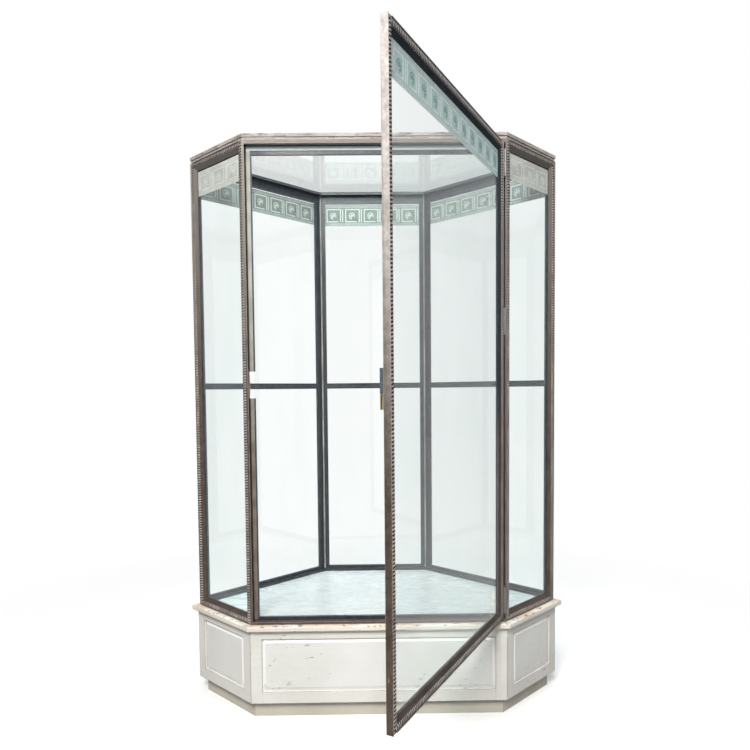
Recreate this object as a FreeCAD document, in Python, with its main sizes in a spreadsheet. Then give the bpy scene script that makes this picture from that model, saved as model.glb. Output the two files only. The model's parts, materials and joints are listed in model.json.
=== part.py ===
"""A six-sided glass display showcase on a panelled wooden plinth, with one full-height glazed door.

Millimetres, +Z up. The origin is on the floor under the middle of the plinth, and the front faces -Y.
Seen from above, the case is a hexagon whose front and rear corners are cut off at 45 degrees, so the two
side corners are square. Every fixed face has a local frame: u runs along the face to the right as seen
from outside, n runs inwards, and z runs up from the floor. The door has its own frame on the hinge axis.
"""
import FreeCAD, Part
import Sketcher
import os
import re

doc = FreeCAD.newDocument("showcase")
sheet = doc.addObject("Spreadsheet::Sheet", "Sizes")

SIZES = {
    # plan of the case
    "front_width": 956, "front_cut": 248, "rear_cut": 472,
    # plinth
    "kick_height": 58, "kick_inset": 18, "kick_thick": 18,
    "plinth_height": 277, "plinth_outset": 5, "plinth_thick": 22,
    "plinth_stile": 43, "plinth_top_rail": 33, "plinth_low_rail": 44,
    "panel_rebate": 8, "panel_lip": 9, "panel_play": 0.5, "panel_bevel": 15, "panel_sunk": 2,
    "bottom_thick": 18, "post_size": 40, "bearer_thick": 22, "bearer_spacing": 190, "bearer_play": 1,
    "slab_thick": 20, "slab_overhang": 23, "slab_round": 5,
    # glazed frames
    "case_height": 1773, "frame_thick": 24, "corner_wall": 2.5, "rebate_width": 9.5,
    "arris": 1, "land_depth": 3, "bevel_width": 14, "bevel_depth": 12, "sight_lip": 1, "lip_thick": 1.5,
    "rope_width": 16, "rope_margin": 4.2, "glass_thick": 5, "glass_play": 0.3, "bead_play": 0.2,
    "bar_height": 22, "bar_level": 892, "bar_web": 6, "inner_rope_radius": 4, "inner_rope_edge": 1,
    # floor, cornice and roof
    "floor_thick": 12, "floor_play": 0.5, "skirting": 12,
    "cornice_height": 10, "cornice_inset": 3, "cornice_width": 42,
    "cap_height": 12, "cap_width": 27, "roof_glass": 6, "roof_play": 1,
    # door opening
    "lock_strip": 8, "head_strip": 14, "sill_strip": 10, "stop_depth": 12, "stop_reach": 22,
    "head_stop": 46, "sill_stop": 23,
    "seal_thick": 2.5, "seal_width": 14, "seal_edge": 4, "seal_gap": 0.5,
    # door
    "door_thick": 21, "door_play": 2, "door_bevel_depth": 10, "door_lip": 1.5, "door_glass": 4,
    "open_angle": 61.4,
    # hinges
    "pin_inset": 7.5, "pin_proud": 4.8, "leaf_thick": 2, "leaf_gap": 0.4, "leaf_depth": 22,
    "hinge_height": 96, "hinge_inset": 24, "hinge_mid_level": 1472, "knuckle_radius": 4.5,
    "knuckle_gap": 0.3, "pin_radius": 2.5, "pin_play": 0.05, "pin_short": 1,
    "screw_radius": 1.8, "screw_head": 3.6, "screw_length": 9, "screw_pitch": 32, "screw_line": 16,
    # lock
    "lock_level": 1249, "lock_height": 61, "lock_width": 32, "lock_depth": 12, "lock_edge": 4,
    "lock_wall": 2, "notch_height": 99, "bolt_height": 14, "bolt_thick": 5, "bolt_length": 24,
    "bolt_play": 0.3, "spindle_radius": 3, "spindle_line": 27, "spindle_drop": 20,
    "lock_bite": 12, "lock_screw_near": 8, "lock_screw_far": 18, "lock_screw_inset": 5,
    "spindle_gap": 1, "lever_play": 0.3, "hub_radius": 6, "hub_length": 3.5,
    "lever_thick": 5, "lever_width": 8.5, "lever_length": 52,
    "strike_thick": 1.5, "strike_height": 70, "strike_width": 20,
    "mortise_depth": 6, "mortise_play": 1.5, "window_play": 1,
    # how far a cutting block runs past what it cuts
    "cut_over": 1,
}

# Sizes that follow from the sheet, written with the sheet's words and each other's.
DERIVED = {
    "mitre": "tan(22.5 deg)",
    "slant": "sqrt(2)",
    "half_front": "(front_width / 2)",
    "side_x": "(front_width / 2 + front_cut)",
    "back_half": "(side_x - rear_cut)",
    "half_depth": "((front_cut + rear_cut) / 2)",
    "side_y": "(front_cut - half_depth)",
    "plinth_top": "(kick_height + plinth_height)",
    "slab_top": "(plinth_top + slab_thick)",
    "case_top": "(slab_top + case_height)",
    "plinth_back": "(plinth_thick - plinth_outset)",
    "frame_width": "(frame_thick + corner_wall + rebate_width)",
    "land_width": "(frame_width - bevel_width - sight_lip)",
    "lip_back": "(bevel_depth + lip_thick)",
    "rebate_edge": "(frame_width - rebate_width)",
    "rope_line": "(rope_margin + rope_width / 2)",
    "pane_depth": "(lip_back + glass_play)",
    "bead_depth": "(pane_depth + glass_thick + glass_play)",
    "bar_middle": "(slab_top + bar_level)",
    "floor_top": "(slab_top + floor_thick)",
    "cap_base": "(case_top + cornice_height)",
    "jamb_depth": "frame_thick",
    "pin_x": "(half_front - pin_inset)",
    "pin_y": "(-half_depth - pin_proud)",
    "hinge_clear": "(leaf_gap / 2 + leaf_thick)",
    "hinge_strip": "(pin_inset - hinge_clear)",
    "door_width": "(front_width - lock_strip - door_play - pin_inset - hinge_clear)",
    "door_low": "(slab_top + sill_strip + door_play)",
    "door_high": "(case_top - head_strip - door_play)",
    "door_lip_back": "(door_bevel_depth + door_lip)",
    "door_pane": "(door_lip_back + glass_play)",
    "door_bead": "(door_pane + door_glass + glass_play)",
    "door_back": "(pin_proud + door_thick)",
    "free_edge": "(-hinge_clear - door_width)",
    "opening_left": "(-half_front + lock_strip)",
    "opening_right": "(half_front - hinge_strip)",
    "stop_face": "(-half_depth + jamb_depth)",
    "stop_back": "(stop_face + stop_depth)",
    "hinge_low": "(door_low + hinge_inset)",
    "hinge_high": "(door_high - hinge_inset - hinge_height)",
    "bolt_depth": "(door_back + (lock_depth - bolt_thick) / 2)",
    "bolt_low": "(lock_level - bolt_height / 2)",
    "bolt_line": "(-half_depth - pin_proud + bolt_depth)",
    "spindle_level": "(lock_level - spindle_drop)",
}

for row, (alias, size) in enumerate(SIZES.items(), start=1):
    sheet.set(f"A{row}", alias)
    sheet.set(f"B{row}", str(size))
    sheet.setAlias(f"B{row}", alias)
doc.recompute()

FRONT, FRONT_RIGHT, REAR_RIGHT = "front", "front_right", "rear_right"
BACK, REAR_LEFT, FRONT_LEFT = "back", "rear_left", "front_left"

# Each face: heading in degrees, its left corner, its length, and how fast its two mitres close in.
FACES = {
    FRONT: (0, "-half_front", "-half_depth", "front_width", "mitre", "mitre"),
    FRONT_RIGHT: (45, "half_front", "-half_depth", "(front_cut * slant)", "mitre", "1"),
    REAR_RIGHT: (135, "side_x", "side_y", "(rear_cut * slant)", "1", "mitre"),
    BACK: (180, "back_half", "half_depth", "(2 * back_half)", "mitre", "mitre"),
    REAR_LEFT: (225, "-back_half", "half_depth", "(rear_cut * slant)", "mitre", "1"),
    FRONT_LEFT: (315, "-side_x", "side_y", "(front_cut * slant)", "1", "mitre"),
}
GLAZED = [FRONT_LEFT, FRONT_RIGHT, REAR_LEFT, BACK, REAR_RIGHT]
REAR = [REAR_LEFT, BACK, REAR_RIGHT]


# ---- words into expressions ----

def bound(text):
    """The expression that a text stands for: derived words are opened, and sheet words point at the sheet."""
    text = str(text)
    while True:
        opened = re.sub(r"[a-z_]+", lambda found: DERIVED.get(found.group(), found.group()), text)
        if opened == text:
            break
        text = opened
    on_sheet = r"\b(" + "|".join(SIZES) + r")\b"
    return re.sub(on_sheet, r"Sizes.\1", text)


def number(text):
    """The value that an expression has now."""
    value = sheet.evalExpression(bound(text))
    return float(getattr(value, "Value", value))


def bind(thing, **links):
    """Binds properties to expressions; a double underscore in a property's name stands for a dot."""
    for key, text in links.items():
        thing.setExpression(key.replace("__", "."), bound(text))
    return thing


def place(thing, x="0", y="0", z="0", turn=0):
    """Puts an object at a bound point, turned about Z by a fixed angle."""
    thing.Placement = FreeCAD.Placement(FreeCAD.Vector(), FreeCAD.Rotation(FreeCAD.Vector(0, 0, 1), turn))
    return bind(thing, Placement__Base__x=x, Placement__Base__y=y, Placement__Base__z=z)


def on_face(thing, face, u="0", n="0", z="0"):
    """Puts an object into a face's own frame, shifted by u, n and z."""
    turn, x, y = FACES[face][:3]
    ahead = f"cos({turn} deg)"
    aside = f"sin({turn} deg)"
    return place(thing, f"{x} + ({u}) * {ahead} - ({n}) * {aside}",
                 f"{y} + ({u}) * {aside} + ({n}) * {ahead}", z, turn)


def on_door(thing, z="0"):
    """Puts an object into the door's frame, which turns with the door about the hinge axis."""
    place(thing, "pin_x", "pin_y", z)
    return bind(thing, Placement__Rotation__Angle="open_angle")


# ---- kinds of piece ----

def sketch_on(body, plane, start="0"):
    """A sketch on one of a body's own origin planes, moved along the plane's normal."""
    support = [item for item in body.Origin.OriginFeatures if item.Role == plane][0]
    sketch = body.newObject("Sketcher::SketchObject", body.Name + "_sketch")
    sketch.AttachmentSupport = (support, [""])
    sketch.MapMode = "FlatFace"
    return bind(sketch, AttachmentOffset__Base__z=start)


def constraint(*words):
    """A sketch constraint."""
    return Sketcher.Constraint(*words)


def pin_point(sketch, edge, end, across, up):
    """Holds one end of an edge at bound distances from the sketch's origin."""
    for kind, text in (("DistanceX", across), ("DistanceY", up)):
        index = sketch.addConstraint(constraint(kind, -1, 1, edge, end, number(text)))
        sketch.setExpression(f"Constraints[{index}]", bound(text))


def draw(sketch, corners, closed=True):
    """Straight edges through bound corners."""
    points = [FreeCAD.Vector(number(across), number(up), 0) for across, up in corners]
    ends = points[1:] + points[:1] if closed else points[1:]
    for start, end in zip(points, ends):
        sketch.addGeometry(Part.LineSegment(start, end), False)
    edges = len(ends)
    for edge in range(edges - 1):
        sketch.addConstraint(constraint("Coincident", edge, 2, edge + 1, 1))
    if closed:
        sketch.addConstraint(constraint("Coincident", edges - 1, 2, 0, 1))
    for edge, (across, up) in enumerate(corners[:edges]):
        pin_point(sketch, edge, 1, across, up)
    if not closed:
        pin_point(sketch, edges - 1, 2, *corners[-1])
    return sketch


def prism(label, corners, length, plane="XY_Plane", start="0"):
    """A body padded from a closed outline along the plane's normal."""
    body = doc.addObject("PartDesign::Body", label)
    body.Label = label
    sketch = draw(sketch_on(body, plane, start), corners)
    pad = body.newObject("PartDesign::Pad", label + "_pad")
    pad.Profile = sketch
    bind(pad, Length=length)
    sketch.Visibility = False
    return body


def board(label, face, near, far, low, high):
    """An upright board on a face, between two depths, whose ends follow the corner mitres."""
    length, left, right = FACES[face][3:]
    corners = [
        (f"({near}) * {left}", near), (f"{length} - ({near}) * {right}", near),
        (f"{length} - ({far}) * {right}", far), (f"({far}) * {left}", far),
    ]
    return on_face(prism(label, corners, f"({high}) - ({low})", start=low), face)


def block(label, size):
    """A plain box of bound sizes."""
    box = doc.addObject("Part::Box", label)
    box.Label = label
    return bind(box, Length=size[0], Width=size[1], Height=size[2])


def rod(label, radius, height):
    """A plain cylinder of bound sizes."""
    cylinder = doc.addObject("Part::Cylinder", label)
    cylinder.Label = label
    return bind(cylinder, Radius=radius, Height=height)


def hexagon(inset):
    """The plan outline moved inwards by a bound distance, or outwards where it is negative."""
    near = f"(half_depth - ({inset}))"
    front = f"(half_front - ({inset}) * mitre)"
    side = f"(side_x - ({inset}) * slant)"
    rear = f"(back_half - ({inset}) * mitre)"
    return [(f"-{front}", f"-{near}"), (front, f"-{near}"), (side, "side_y"),
            (rear, near), (f"-{rear}", near), (f"-{side}", "side_y")]


def plate(label, inset, low, thick):
    """A six-sided plate."""
    return prism(label, hexagon(inset), thick, start=low)


def cut(label, base, *tools):
    """One object less others."""
    for index, tool in enumerate(tools):
        result = doc.addObject("Part::Cut", f"{label}_less_{index}")
        result.Base = base
        result.Tool = tool
        base = result
    base.Label = label
    return base


def fuse(label, *pieces):
    """Several touching objects made one."""
    result = doc.addObject("Part::MultiFuse", label)
    result.Label = label
    result.Shapes = list(pieces)
    result.Refine = True
    return result


def group(label, pieces):
    """Separate solids kept together under one name."""
    result = doc.addObject("Part::Compound", label)
    result.Label = label
    result.Links = list(pieces)
    return result


# ---- plinth ----

def plinth_frame(face):
    """Two stiles and two rails round one raised panel, rebated behind for it."""
    length, left, right = FACES[face][3:]
    front = "-plinth_outset"
    lip = "(panel_lip - plinth_outset)"
    stiles = []
    for side, slope in (("left", left), ("right", right)):
        inner = f"(plinth_stile - plinth_outset * {slope})"
        profile = [
            (f"{front} * {slope}", front), (inner, front), (inner, lip), (f"{inner} - panel_rebate", lip),
            (f"{inner} - panel_rebate", "plinth_back"), (f"plinth_back * {slope}", "plinth_back"),
        ]
        if side == "right":
            profile = [(f"{length} - ({across})", depth) for across, depth in reversed(profile)]
        stile = prism(f"plinth_stile_{side}_{face}", profile, "plinth_height", start="kick_height")
        stiles.append(on_face(stile, face))
    start = f"(plinth_stile - plinth_outset * {left})"
    run = f"{length} - 2 * plinth_stile + plinth_outset * ({left} + {right})"
    low = "(kick_height + plinth_low_rail)"
    high = "(plinth_top - plinth_top_rail)"
    low_profile = [
        (front, "kick_height"), ("plinth_back", "kick_height"), ("plinth_back", f"{low} - panel_rebate"),
        (lip, f"{low} - panel_rebate"), (lip, low), (front, low),
    ]
    high_profile = [
        (front, high), (lip, high), (lip, f"{high} + panel_rebate"),
        ("plinth_back", f"{high} + panel_rebate"), ("plinth_back", "plinth_top"), (front, "plinth_top"),
    ]
    rails = []
    for level, profile in (("low", low_profile), ("high", high_profile)):
        rail = prism(f"plinth_rail_{level}_{face}", profile, run, "YZ_Plane", start)
        rails.append(on_face(rail, face))
    return group(f"plinth_frame_{face}", stiles + rails)


def plinth_panel(face):
    """A raised panel: a plate held in the frame's rebate, and a bevelled field standing forward from it."""
    length, left, right = FACES[face][3:]
    low = "(kick_height + plinth_low_rail)"
    high = "(plinth_top - plinth_top_rail)"
    first = f"(plinth_stile - plinth_outset * {left})"
    last = f"({length} - plinth_stile + plinth_outset * {right})"
    hold = "(panel_rebate - panel_play)"
    lip = "(panel_lip - plinth_outset)"
    wide = f"{last} - {first} + 2 * {hold}"
    tall = f"{high} - {low} + 2 * {hold}"
    back = block(f"panel_plate_{face}", (wide, f"plinth_back - {lip} - panel_play", tall))
    on_face(back, face, f"{first} - {hold}", f"{lip} + panel_play", f"{low} - {hold}")
    field = doc.addObject("Part::Wedge", f"panel_field_{face}")
    bind(
        field, Ymin="panel_sunk - plinth_outset", Ymax=f"{lip} + panel_play",
        Xmin=f"{first} + panel_bevel", Xmax=f"{last} - panel_bevel",
        Zmin=f"{low} + panel_bevel", Zmax=f"{high} - panel_bevel",
        X2min=f"{first} + panel_play", X2max=f"{last} - panel_play",
        Z2min=f"{low} + panel_play", Z2max=f"{high} - panel_play",
    )
    return fuse(f"plinth_panel_{face}", back, on_face(field, face))


def corner_post(face):
    """A glue block inside the plinth's corner at the left end of a face."""
    turn = {FRONT: 45, FRONT_RIGHT: 45, REAR_RIGHT: 90, BACK: 45, REAR_LEFT: 45, FRONT_LEFT: 90}[face]
    corner = f"plinth_back * {FACES[face][4]}"
    aside = f"(post_size * cos({turn} deg))"
    back = f"(post_size * sin({turn} deg))"
    profile = [
        (corner, "plinth_back"), (f"{corner} + post_size", "plinth_back"),
        (f"{corner} + post_size - {aside}", f"plinth_back + {back}"),
        (f"{corner} - {aside}", f"plinth_back + {back}"),
    ]
    rise = "plinth_height - bottom_thick"
    return on_face(prism(f"corner_post_{face}", profile, rise, start="kick_height + bottom_thick"), face)


def bearers():
    """Two boards on edge under the bottom, across the width between the toe boards."""
    boards = []
    inner = "(kick_inset + kick_thick + bearer_play)"
    reach = f"(side_x + side_y - bearer_thick / 2 - {inner} * slant)"
    boards.append(place(block("bearer_middle", (f"2 * {reach}", "bearer_thick", "kick_height")),
                        f"-{reach}", "-bearer_thick / 2"))
    reach = f"(half_front + half_depth - bearer_spacing - bearer_thick / 2 - {inner} * slant)"
    boards.append(place(block("bearer_front", (f"2 * {reach}", "bearer_thick", "kick_height")),
                        f"-{reach}", "-bearer_spacing - bearer_thick / 2"))
    return group("base_bearers", boards)


def top_slab():
    """The plinth's top board, with its edges rounded."""
    slab = plate("top_slab", "-slab_overhang", "plinth_top", "slab_thick")
    doc.recompute()
    pad = slab.Tip
    level = [f"Edge{index}" for index, edge in enumerate(pad.Shape.Edges, start=1)
             if edge.BoundBox.ZLength < edge.BoundBox.DiagonalLength / 2]
    fillet = slab.newObject("PartDesign::Fillet", "slab_rounding")
    fillet.Base = (pad, level)
    bind(fillet, Radius="slab_round")
    return slab


# ---- glazed frames ----

def moulded(slope, thick, bevel_end, lip_back):
    """A moulded member's section from its edge inwards, as (across, deep) pairs; slope is its mitre's."""
    return [
        ("0", "0"), ("arris", "0"), (f"arris + land_depth * {slope}", "land_depth"),
        ("land_width", "land_depth"), ("land_width + bevel_width", bevel_end), ("frame_width", bevel_end),
        ("frame_width", lip_back), ("rebate_edge", lip_back), ("rebate_edge", thick),
    ]


CASE_RAIL = moulded("0", "frame_thick", "bevel_depth", "lip_back") + [("0", "frame_thick")]
DOOR_SECTION = moulded("0", "door_thick", "door_bevel_depth", "door_lip_back") + [("0", "door_thick")]


def case_stile(face, side):
    """An upright of a fixed frame. It meets its neighbour on the mitre, or forms the door's jamb."""
    length, left, right = FACES[face][3:]
    slope = left if side == "left" else right
    strip = {(FRONT_RIGHT, "left"): "hinge_strip", (FRONT_LEFT, "right"): "lock_strip"}.get((face, side))
    if strip:
        profile = moulded("0", "frame_thick", "bevel_depth", "lip_back")
        profile.append((f"frame_thick - {strip} * slant", "frame_thick"))
        profile.append((f"-{strip} / slant", f"{strip} / slant"))
    else:
        profile = moulded(slope, "frame_thick", "bevel_depth", "lip_back")
        profile.append((f"frame_thick * {slope}", "frame_thick"))
    if side == "right":
        profile = [(f"{length} - ({across})", deep) for across, deep in reversed(profile)]
    return on_face(prism(f"stile_{side}_{face}", profile, "case_height", start="slab_top"), face)


def case_rail(face, level, uprights):
    """A rail of a fixed frame, scribed over the mouldings of its two stiles."""
    if level == "top":
        profile = [(deep, f"case_top - ({up})") for up, deep in reversed(CASE_RAIL)]
    else:
        profile = [(deep, f"slab_top + ({up})") for up, deep in CASE_RAIL]
    return scribed(f"rail_{level}_{face}", face, profile, "0", uprights)


def scribed(label, face, profile, level, uprights):
    """A member that runs across a fixed frame, mitred with the corners and scribed over both stiles."""
    run = f"{FACES[face][3]} - 2 * land_width"
    blank = on_face(prism(f"{label}_blank", profile, run, "YZ_Plane", "land_width"), face, z=level)
    bounds = board(f"{label}_bounds", face, "0", "frame_thick", "slab_top", "case_top")
    mitred = doc.addObject("Part::Common", f"{label}_mitred")
    mitred.Base = blank
    mitred.Tool = bounds
    return cut(label, mitred, uprights)


def rope_ring(label, low, high, first, last, depth):
    """A half-round moulding swept once round a frame's face; it stands on the land and its crest is flush."""
    body = doc.addObject("PartDesign::Body", label)
    body.Label = label
    path = sketch_on(body, "XZ_Plane", f"-({depth})")
    middle = f"({low} + {high}) / 2"
    route = [(first, middle), (first, high), (last, high), (last, low), (first, low), (first, middle)]
    draw(path, route, closed=False)
    section = sketch_on(body, "XY_Plane", middle)
    half = "rope_width / 2"
    crest = f"{depth} - land_depth"
    ends = [FreeCAD.Vector(number(f"{first} - {half}"), number(depth), 0),
            FreeCAD.Vector(number(first), number(crest), 0),
            FreeCAD.Vector(number(f"{first} + {half}"), number(depth), 0)]
    section.addGeometry(Part.LineSegment(ends[0], ends[2]), False)
    section.addGeometry(Part.Arc(*ends), False)
    arc = section.Geometry[1]
    starts_left = arc.StartPoint.x < arc.EndPoint.x
    section.addConstraint(constraint("Coincident", 0, 1, 1, 1 if starts_left else 2))
    section.addConstraint(constraint("Coincident", 0, 2, 1, 2 if starts_left else 1))
    pin_point(section, 0, 1, f"{first} - {half}", depth)
    pin_point(section, 0, 2, f"{first} + {half}", depth)
    radius = "(rope_width * rope_width / 4 + land_depth * land_depth) / (2 * land_depth)"
    index = section.addConstraint(constraint("Radius", 1, number(radius)))
    section.setExpression(f"Constraints[{index}]", bound(radius))
    pipe = body.newObject("PartDesign::AdditivePipe", label + "_pipe")
    pipe.Profile = section
    pipe.Spine = (path, [f"Edge{edge + 1}" for edge in range(5)])
    pipe.Transition = "Right corner"
    path.Visibility = False
    section.Visibility = False
    return body


def mid_bar(face, uprights):
    """A glazing bar across a rear frame: a lip outside, and a web between the two panes."""
    half = "bar_height / 2"
    web = "bar_web / 2"
    profile = [
        ("land_depth", f"-{half}"), ("lip_back", f"-{half}"), ("lip_back", f"-{web}"),
        ("frame_thick", f"-{web}"), ("frame_thick", web), ("lip_back", web),
        ("lip_back", half), ("land_depth", half),
    ]
    return scribed(f"bar_{face}", face, profile, "bar_middle", uprights)


def inner_rope(side):
    """A half-round strip on the back frame's inner side, beside one of its corners."""
    strip = rod(f"inner_rope_{side}", "inner_rope_radius", "case_top - floor_top - skirting")
    strip.Angle = 180
    edge = "(frame_thick * mitre + inner_rope_edge + inner_rope_radius)"
    u = edge if side == "left" else f"{FACES[BACK][3]} - {edge}"
    return on_face(strip, BACK, u, "frame_thick", "floor_top + skirting")


def pane_levels(face):
    """The lowest and highest edges of each pane's rebate in a frame."""
    low = "slab_top + rebate_edge"
    high = "case_top - rebate_edge"
    if face in REAR:
        return {"lower": (low, "bar_middle - bar_web / 2"), "upper": ("bar_middle + bar_web / 2", high)}
    return {"": (low, high)}


def pane(face, part, low, high):
    """One sheet of glass in its rebate, with a little play all round."""
    label = f"glass_{face}_{part}" if part else f"glass_{face}"
    edge = "(rebate_edge + glass_play)"
    sheet_glass = block(label, (
        f"{FACES[face][3]} - 2 * {edge}", "glass_thick", f"{high} - ({low}) - 2 * glass_play"))
    return on_face(sheet_glass, face, edge, "pane_depth", f"{low} + glass_play")


def beads(face, part, low, high):
    """Four glazing beads that hold a pane from inside: two upright ones and two between them."""
    width = "(rebate_width - bead_play)"
    deep = "frame_thick - bead_depth"
    length = FACES[face][3]
    tall = f"{high} - ({low}) - 2 * bead_play"
    first = "(rebate_edge + bead_play)"
    pieces = []
    for side, u in (("left", first), ("right", f"{length} - frame_width")):
        upright = block(f"bead_{side}_{face}{part}", (width, deep, tall))
        pieces.append(on_face(upright, face, u, "bead_depth", f"{low} + bead_play"))
    run = f"{length} - 2 * frame_width - 2 * bead_play"
    for level, z in (("low", f"{low} + bead_play"), ("high", f"{high} - rebate_width")):
        level_bead = block(f"bead_{level}_{face}{part}", (run, deep, width))
        pieces.append(on_face(level_bead, face, "frame_width + bead_play", "bead_depth", z))
    return pieces


# ---- door opening ----

def surround():
    """The head and the sill strip that close the front between the two jambs."""
    run = "opening_right - opening_left"
    head = block("head_strip_bar", (run, "jamb_depth", "head_strip"))
    sill = block("sill_strip_bar", (run, "jamb_depth", "sill_strip"))
    place(head, "opening_left", "-half_depth", "case_top - head_strip")
    place(sill, "opening_left", "-half_depth", "slab_top")
    return group("door_surround", [head, sill])


def side_stop(label, strip, sign):
    """An upright door stop behind a jamb, wedged against the slanting frame's inner face."""
    jamb = f"(half_front - {strip})"
    corner = "(half_front - frame_thick * mitre)"
    slant_y = f"({jamb} - {corner})"
    edge_near = f"(-half_depth + frame_thick + {slant_y})"
    reach_back = f"({jamb} + stop_back - {edge_near})"
    inner = f"({jamb} - stop_reach)"
    profile = [(inner, "stop_face"), (jamb, "stop_face"), (jamb, edge_near),
               (reach_back, "stop_back"), (inner, "stop_back")]
    if sign < 0:
        profile = [(f"-{across}", deep) for across, deep in reversed(profile)]
    return prism(label, profile, "case_height", start="slab_top")


def stops():
    """The four door stops. The lock-side one has a gap through which the lock's case passes."""
    right = side_stop("stop_right", "hinge_strip", 1)
    left_blank = side_stop("stop_left_blank", "lock_strip", -1)
    notch = block("lock_notch", ("stop_reach + cut_over", "stop_depth + 2 * cut_over", "notch_height"))
    place(notch, "opening_left", "stop_face - cut_over", "lock_level - notch_height / 2")
    left = cut("stop_left", left_blank, notch, mortise("stop_mortise"))
    first = "(opening_left + stop_reach)"
    run = f"opening_right - stop_reach - {first}"
    head = block("stop_head", (run, "stop_depth", "head_stop"))
    sill = block("stop_sill", (run, "stop_depth", "sill_stop"))
    place(head, first, "stop_face", "case_top - head_stop")
    place(sill, first, "stop_face", "slab_top")
    return group("door_stops", [left, right, head, sill])


def seals():
    """Soft strips on the stops: the head, both uprights, and a gap at the lock."""
    face = "stop_face - seal_thick"
    pieces = []
    low = "(slab_top + sill_strip + seal_edge)"
    high = "(case_top - head_strip - seal_edge)"
    gap_low = "(lock_level - notch_height / 2)"
    gap_high = "(lock_level + notch_height / 2)"
    left = "opening_left + seal_edge"
    right = "opening_right - seal_edge - seal_width"
    uprights = (
        ("left_low", left, low, gap_low),
        ("left_high", left, gap_high, high),
        ("right", right, low, high),
    )
    for name, x, bottom, top in uprights:
        strip = block(f"seal_{name}", ("seal_width", "seal_thick", f"{top} - {bottom}"))
        pieces.append(place(strip, x, face, bottom))
    run = f"{right} - ({left}) - seal_width - 2 * seal_gap"
    head = block("seal_head", (run, "seal_thick", "seal_width"))
    pieces.append(place(head, f"{left} + seal_width + seal_gap", face, f"{high} - seal_width"))
    return group("door_seals", pieces)


def mortise(label):
    """The pocket behind the strike that the bolt enters."""
    size = ("mortise_depth + cut_over", "bolt_thick + 2 * mortise_play", "bolt_height + 2 * mortise_play")
    corner = ("opening_left - mortise_depth", "bolt_line - mortise_play", "bolt_low - mortise_play")
    return place(block(label, size), *corner)


# ---- door ----

def door_stile(side):
    """An upright of the door."""
    section = [(f"free_edge + {across}", f"pin_proud + {deep}") for across, deep in DOOR_SECTION]
    if side == "hinge":
        section = [(f"-hinge_clear - ({across})", f"pin_proud + {deep}") for across, deep in DOOR_SECTION]
        section.reverse()
    return on_door(prism(f"door_stile_{side}", section, "door_high - door_low", start="door_low"))


def door_rail(level, stiles):
    """A rail of the door, scribed over the mouldings of the stiles."""
    if level == "top":
        outline = [(f"pin_proud + {deep}", f"door_high - ({up})") for up, deep in reversed(DOOR_SECTION)]
    else:
        outline = [(f"pin_proud + {deep}", f"door_low + ({up})") for up, deep in DOOR_SECTION]
    blank = prism(f"door_rail_blank_{level}", outline, "door_width - 2 * land_width",
                  "YZ_Plane", "free_edge + land_width")
    return cut(f"door_rail_{level}", on_door(blank), stiles)


def in_door(thing, x, y, z):
    """Puts an object at a point of the door's frame, turned with the door."""
    place(thing, f"pin_x + ({x}) * cos(open_angle * 1 deg) - ({y}) * sin(open_angle * 1 deg)",
          f"pin_y + ({x}) * sin(open_angle * 1 deg) + ({y}) * cos(open_angle * 1 deg)", z)
    return bind(thing, Placement__Rotation__Angle="open_angle")


def door_pane():
    """The door's single sheet of glass."""
    edge = "(rebate_edge + glass_play)"
    glass = block("door_glass", (
        f"door_width - 2 * {edge}", "door_glass", f"door_high - door_low - 2 * {edge}"))
    return in_door(glass, f"free_edge + {edge}", "pin_proud + door_pane", f"door_low + {edge}")


def door_beads():
    """Four glazing beads on the door's inner side."""
    width = "(rebate_width - bead_play)"
    deep = "door_thick - door_bead"
    first = "(rebate_edge + bead_play)"
    depth = "pin_proud + door_bead"
    pieces = []
    tall = f"door_high - door_low - 2 * {first}"
    for side, x in (("lock", f"free_edge + {first}"), ("hinge", "-hinge_clear - frame_width")):
        upright = block(f"door_bead_{side}", (width, deep, tall))
        pieces.append(in_door(upright, x, depth, f"door_low + {first}"))
    run = "door_width - 2 * frame_width - 2 * bead_play"
    for level, z in (("low", f"door_low + {first}"), ("high", "door_high - frame_width")):
        bead = block(f"door_bead_{level}", (run, deep, width))
        pieces.append(in_door(bead, "free_edge + frame_width + bead_play", depth, z))
    return group("door_glazing_beads", pieces)


# ---- hinges ----

HINGES = {"low": "hinge_low", "mid": "(hinge_mid_level - hinge_height / 2)", "high": "hinge_high"}
DOOR_SIDE, CASE_SIDE = "door", "case"


def set_on(thing, side, x, y, z):
    """Puts a hinge piece at a point measured from the pin, on the case or turned with the door."""
    if side == DOOR_SIDE:
        return in_door(thing, x, y, z)
    return place(thing, f"pin_x + ({x})", f"pin_y + ({y})", z)


def leaf(side, hinge, low):
    """A hinge leaf: a plate in the gap, a web and half of the knuckle. The case's half is the lower one."""
    half = "(hinge_height / 2 - knuckle_gap / 2)"
    own = low if side == CASE_SIDE else f"({low} + hinge_height / 2 + knuckle_gap / 2)"
    x = "leaf_gap / 2" if side == CASE_SIDE else "-hinge_clear"
    clear = "(knuckle_radius + knuckle_gap)"
    name = f"{side}_{hinge}"
    flat = block(f"leaf_plate_{name}", ("leaf_thick", f"leaf_depth - {clear}", "hinge_height"))
    web = block(f"leaf_web_{name}", ("leaf_thick", clear, half))
    knuckle = rod(f"leaf_knuckle_{name}", "knuckle_radius", half)
    set_on(flat, side, x, clear, low)
    set_on(web, side, x, "0", own)
    set_on(knuckle, side, "0", "0", own)
    bore = rod(f"leaf_bore_{name}", "pin_radius" if side == CASE_SIDE else "pin_radius + pin_play", half)
    set_on(bore, side, "0", "0", own)
    whole = fuse(f"leaf_whole_{name}", flat, web, knuckle)
    return cut(f"leaf_{name}", whole, bore)


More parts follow.
